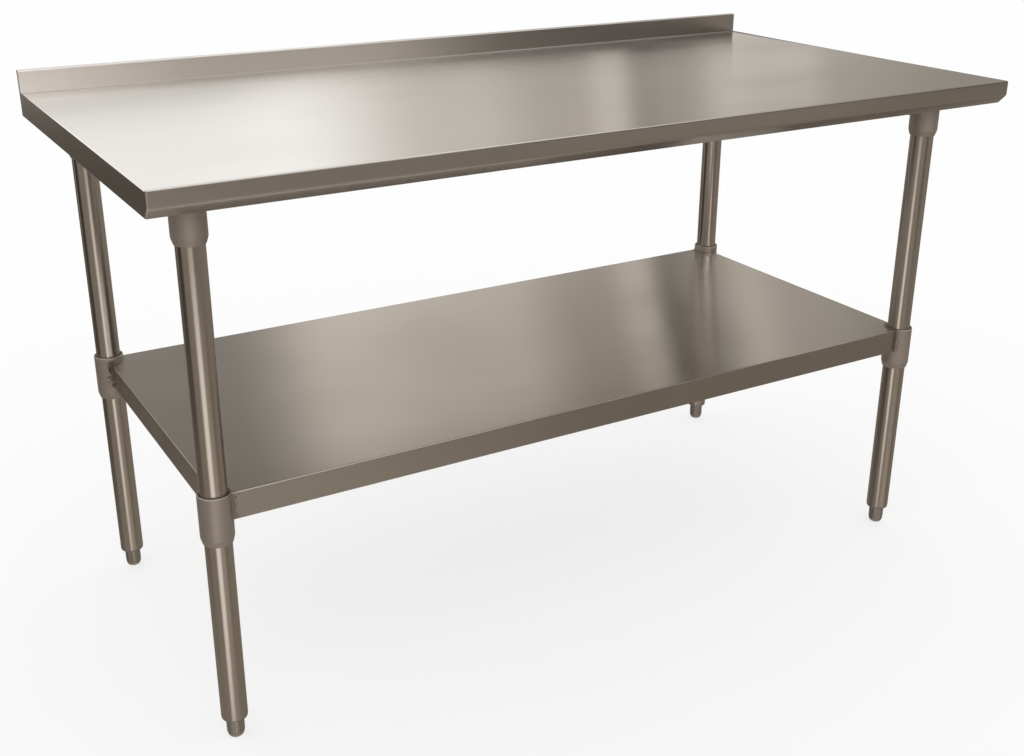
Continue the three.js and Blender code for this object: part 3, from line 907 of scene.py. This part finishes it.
def build_floor():
    """A pale floor that shows only a faint shadow, and that the steel doesn't see."""
    bm = bmesh.new()
    bmesh.ops.create_grid(bm, x_segments=1, y_segments=1, size=FLOOR_SIZE)
    floor = object_from(bm, "floor")
    material = bpy.data.materials.new("pale_floor")
    material.use_nodes = True
    nodes = Nodes(material.node_tree)
    glow = nodes.add("ShaderNodeEmission", Color=colour(1, 1, 1), Strength=FLOOR_GLOW)
    paint = nodes.add("ShaderNodeBsdfDiffuse", Color=colour(FLOOR_PAINT, FLOOR_PAINT, FLOOR_PAINT))
    both = nodes.add("ShaderNodeAddShader", i0=glow.outputs[0], i1=paint.outputs[0])
    nodes.add("ShaderNodeOutputMaterial", Surface=both.outputs[0])
    floor.data.materials.append(material)
    floor.visible_glossy = False


# The room round the panels, as the steel sees it: its light below, at eye level and overhead
LIGHT_BELOW = colour(0.25, 0.215, 0.18)
LIGHT_AROUND = colour(0.42, 0.39, 0.36)
LIGHT_ABOVE = colour(1.25, 1.24, 1.22)

# What the steel sees round it: soft-edged panels, laid over one another in this order. Each
# has its bearing and half width, its lowest and highest elevation, how soft its sides and its
# ends are, all in degrees, and its brightness. Bearing 0 is +Y, 90 is +X and 180 is -Y, and a
# line of equal bearing is a cone round X, because the brushed sheets smear light across X.
PANELS = [
    # behind, high: the bands on the shelf
    (0, 60, 12, 46, 1.5, 7, (0.21, 0.19, 0.17)),
    (32.0, 13.8, 11, 36, 2.6, 5, (0.78, 0.73, 0.66)),
    (21.4, 2.0, 12, 34, 1.6, 5, (0.88, 0.83, 0.76)),
    (32.4, 2.4, 12, 34, 1.8, 5, (0.43, 0.39, 0.345)),
    (42.5, 6.8, 11, 36, 1.2, 5, (0.42, 0.39, 0.35)),
    (34.2, 0.75, 12, 22, 0.5, 5, (0.95, 0.89, 0.81)),
    (35.6, 0.55, 14, 40, 0.3, 4, (0.0, 0.0, 0.0)),
    (37.0, 1.2, 14, 20, 0.6, 3, (0.0, 0.0, 0.0)),
    (38.9, 0.8, 18, 34, 0.6, 3, (0.72, 0.67, 0.6)),
    (48, 5, 12, 34, 4, 5, (0.26, 0.24, 0.21)),
    # behind, low: the bands on the top
    (8, 62, -8, 12, 3, 3.5, (0.82, 0.76, 0.69)),
    (22.5, 4.5, -8, 12, 3.5, 3.5, (0.92, 0.88, 0.84)),
    (-11, 28, -8, 12, 2.2, 3.5, (0.6, 0.58, 0.56)),
    (41, 2.2, -8, 12, 0.7, 3.5, (1.05, 1.0, 0.93)),
    (52, 6, -8, 12, 4, 3.5, (0.46, 0.42, 0.375)),
    # left: the left apron and flange, and the left sides of the legs
    (-55, 36, -28, -4, 14, 5, (0.07, 0.06, 0.05)),
    (-66, 15, -17, -3, 5, 3, (0.008, 0.007, 0.006)),
    (-42, 6, -17, -9, 3, 2, (0.4, 0.36, 0.32)),
    (-14, 14, -17, -11, 5, 3, (0.08, 0.065, 0.055)),
    # in front and below: the shelf's front flange
    (178, 22, -32, -25, 8, 4, (0.62, 0.54, 0.46)),
    # straight below, all round: the front bevel, darker towards its right end
    (0, 200, -95, -56, 1, 8, (0.46, 0.41, 0.36)),
    (47, 14, -64, -38, 5, 3, (0.12, 0.1, 0.085)),
    # in front: the top's front face, and the right sides of the legs
    (141, 9, -30, -16, 4, 4, (0.17, 0.14, 0.115)),
    (138, 14, -3, 30, 4, 5, (0.06, 0.052, 0.045)),
    (166, 13, -16, -3, 5, 3, (0.05, 0.043, 0.037)),
    (142, 7, -15, -3, 3, 3, (0.36, 0.31, 0.27)),
    (161, 7, 8, 32, 3, 4, (0.9, 0.85, 0.81)),
    (181, 14, 12, 32, 4, 3, (2.4, 2.3, 2.33)),
]


def build_world():
    """White to the camera and to the floor, and the panels to the steel."""
    world = bpy.data.worlds.new("studio")
    bpy.context.scene.world = world
    world.use_nodes = True
    world.cycles.sampling_method = "NONE"
    nodes = Nodes(world.node_tree)
    way = nodes.add("ShaderNodeTexCoord").outputs["Generated"]
    split = nodes.add("ShaderNodeSeparateXYZ", Vector=way).outputs
    sideways = nodes.math("DEGREES", nodes.math("ARCSINE", split[0]))
    in_front = nodes.math("LESS_THAN", split[1], 0.0)
    mirrored = nodes.math("SUBTRACT", 180.0, sideways)
    change = nodes.math("SUBTRACT", mirrored, sideways)
    bearing = nodes.math("ADD", sideways, nodes.math("MULTIPLY", in_front, change))
    elevation = nodes.math("DEGREES", nodes.math("ARCSINE", split[2]))
    low_light = nodes.spread(elevation, -12.0, 12.0, 0.0, 1.0, smooth=True)
    high_light = nodes.spread(elevation, 35.0, 60.0, 0.0, 1.0, smooth=True)
    light = nodes.blend(low_light, LIGHT_BELOW, LIGHT_AROUND)
    light = nodes.blend(high_light, light, LIGHT_ABOVE)
    for middle, half, low, high, soft_side, soft_end, glow in PANELS:
        turn = nodes.math("WRAP", nodes.math("SUBTRACT", bearing, float(middle)), 180.0, -180.0)
        off = nodes.math("ABSOLUTE", turn)
        share = nodes.spread(off, half - soft_side, half + soft_side, 1.0, 0.0, smooth=True)
        foot = nodes.spread(elevation, low - soft_end, low + soft_end, 0.0, 1.0, smooth=True)
        head = nodes.spread(elevation, high - soft_end, high + soft_end, 1.0, 0.0, smooth=True)
        share = nodes.math("MULTIPLY", share, nodes.math("MULTIPLY", foot, head))
        light = nodes.blend(share, light, colour(*glow))
    seen_in_metal = nodes.add("ShaderNodeLightPath").outputs["Is Glossy Ray"]
    shown = nodes.blend(seen_in_metal, colour(1.0, 1.0, 1.0), light)
    glow = nodes.add("ShaderNodeBackground", Color=shown, Strength=1.0)
    nodes.add("ShaderNodeOutputWorld", Surface=glow.outputs[0])


# Soft upright cards that only the steel sees: middle, the way it faces, width and height, the
# shares that fade out on each side, at the bottom and at the top, and its light.
CARDS = [
    ((-1.29, -1.81, -0.35), (0.58, 0.81), 1.3, 1.7, 0.25, 0.02, 0.3, (1.12, 1.06, 0.97)),
    ((-0.8, 0.66, 1.28), (0.0, -1.0), 2.0, 0.76, 0.2, 0.45, 0.05, (1.6, 1.6, 1.62)),
]


def build_cards():
    """The cards, each a plane whose glow fades into clearness towards its edges."""
    for number, given in enumerate(CARDS, 1):
        middle, facing, width, height, fade, foot_fade, head_fade, light = given
        bm = bmesh.new()
        bmesh.ops.create_grid(bm, x_segments=1, y_segments=1, size=0.5)
        card = object_from(bm, f"light_card_{number}")
        card.scale = (width, height, 1)
        card.location = middle
        card.rotation_euler = Vector((*facing, 0)).to_track_quat("Z", "Y").to_euler()
        material = bpy.data.materials.new(f"card_glow_{number}")
        material.use_nodes = True
        nodes = Nodes(material.node_tree)
        place = nodes.add("ShaderNodeTexCoord").outputs["Object"]
        across, up, _ = nodes.add("ShaderNodeSeparateXYZ", Vector=place).outputs
        off = nodes.math("ABSOLUTE", across)
        share = nodes.spread(off, 0.5 - fade, 0.5, 1.0, 0.0, smooth=True)
        foot = nodes.spread(up, -0.5, foot_fade - 0.5, 0.0, 1.0, smooth=True)
        head = nodes.spread(up, 0.5 - head_fade, 0.5, 1.0, 0.0, smooth=True)
        share = nodes.math("MULTIPLY", share, nodes.math("MULTIPLY", foot, head))
        shine = nodes.add("ShaderNodeEmission", Color=colour(*light), Strength=1.0)
        clear = nodes.add("ShaderNodeBsdfTransparent")
        both = nodes.add("ShaderNodeMixShader", i0=share, i1=clear.outputs[0], i2=shine.outputs[0])
        nodes.add("ShaderNodeOutputMaterial", Surface=both.outputs[0])
        card.data.materials.append(material)
        card.visible_camera = False
        card.visible_diffuse = False
        card.visible_shadow = False


CAMERA_PLACE = (-1.1426, -1.8971, 1.2856)
CAMERA_AZIMUTH = -29.905
CAMERA_PITCH = -21.891
CAMERA_ROLL = 0.098
CAMERA_LENS = 45.0               # for a sensor of the width below, both in millimetres
CAMERA_SENSOR = 36
CAMERA_SHIFT = (0.0137, -0.0176)


def build_camera():
    """The main view: from the left, in front and above."""
    data = bpy.data.cameras.new("camera")
    camera = bpy.data.objects.new("camera", data)
    bpy.context.scene.collection.objects.link(camera)
    data.lens = CAMERA_LENS
    data.sensor_width = CAMERA_SENSOR
    data.shift_x, data.shift_y = CAMERA_SHIFT
    data.clip_start, data.clip_end = 0.02, 200
    camera.location = CAMERA_PLACE
    camera.rotation_mode = "XYZ"
    camera.rotation_euler = Euler((
        math.radians(90 + CAMERA_PITCH), math.radians(CAMERA_ROLL), math.radians(CAMERA_AZIMUTH),
    ), "XYZ")
    bpy.context.scene.camera = camera


bpy.context.scene.view_settings.view_transform = "Standard"
build_camera()
build_floor()
build_world()
build_cards()
build_top()
build_riser_caps()
build_studs()
build_channels()
build_legs()
build_gussets()
build_sockets()
build_set_screws()
build_feet()
build_shelf()
build_welds()
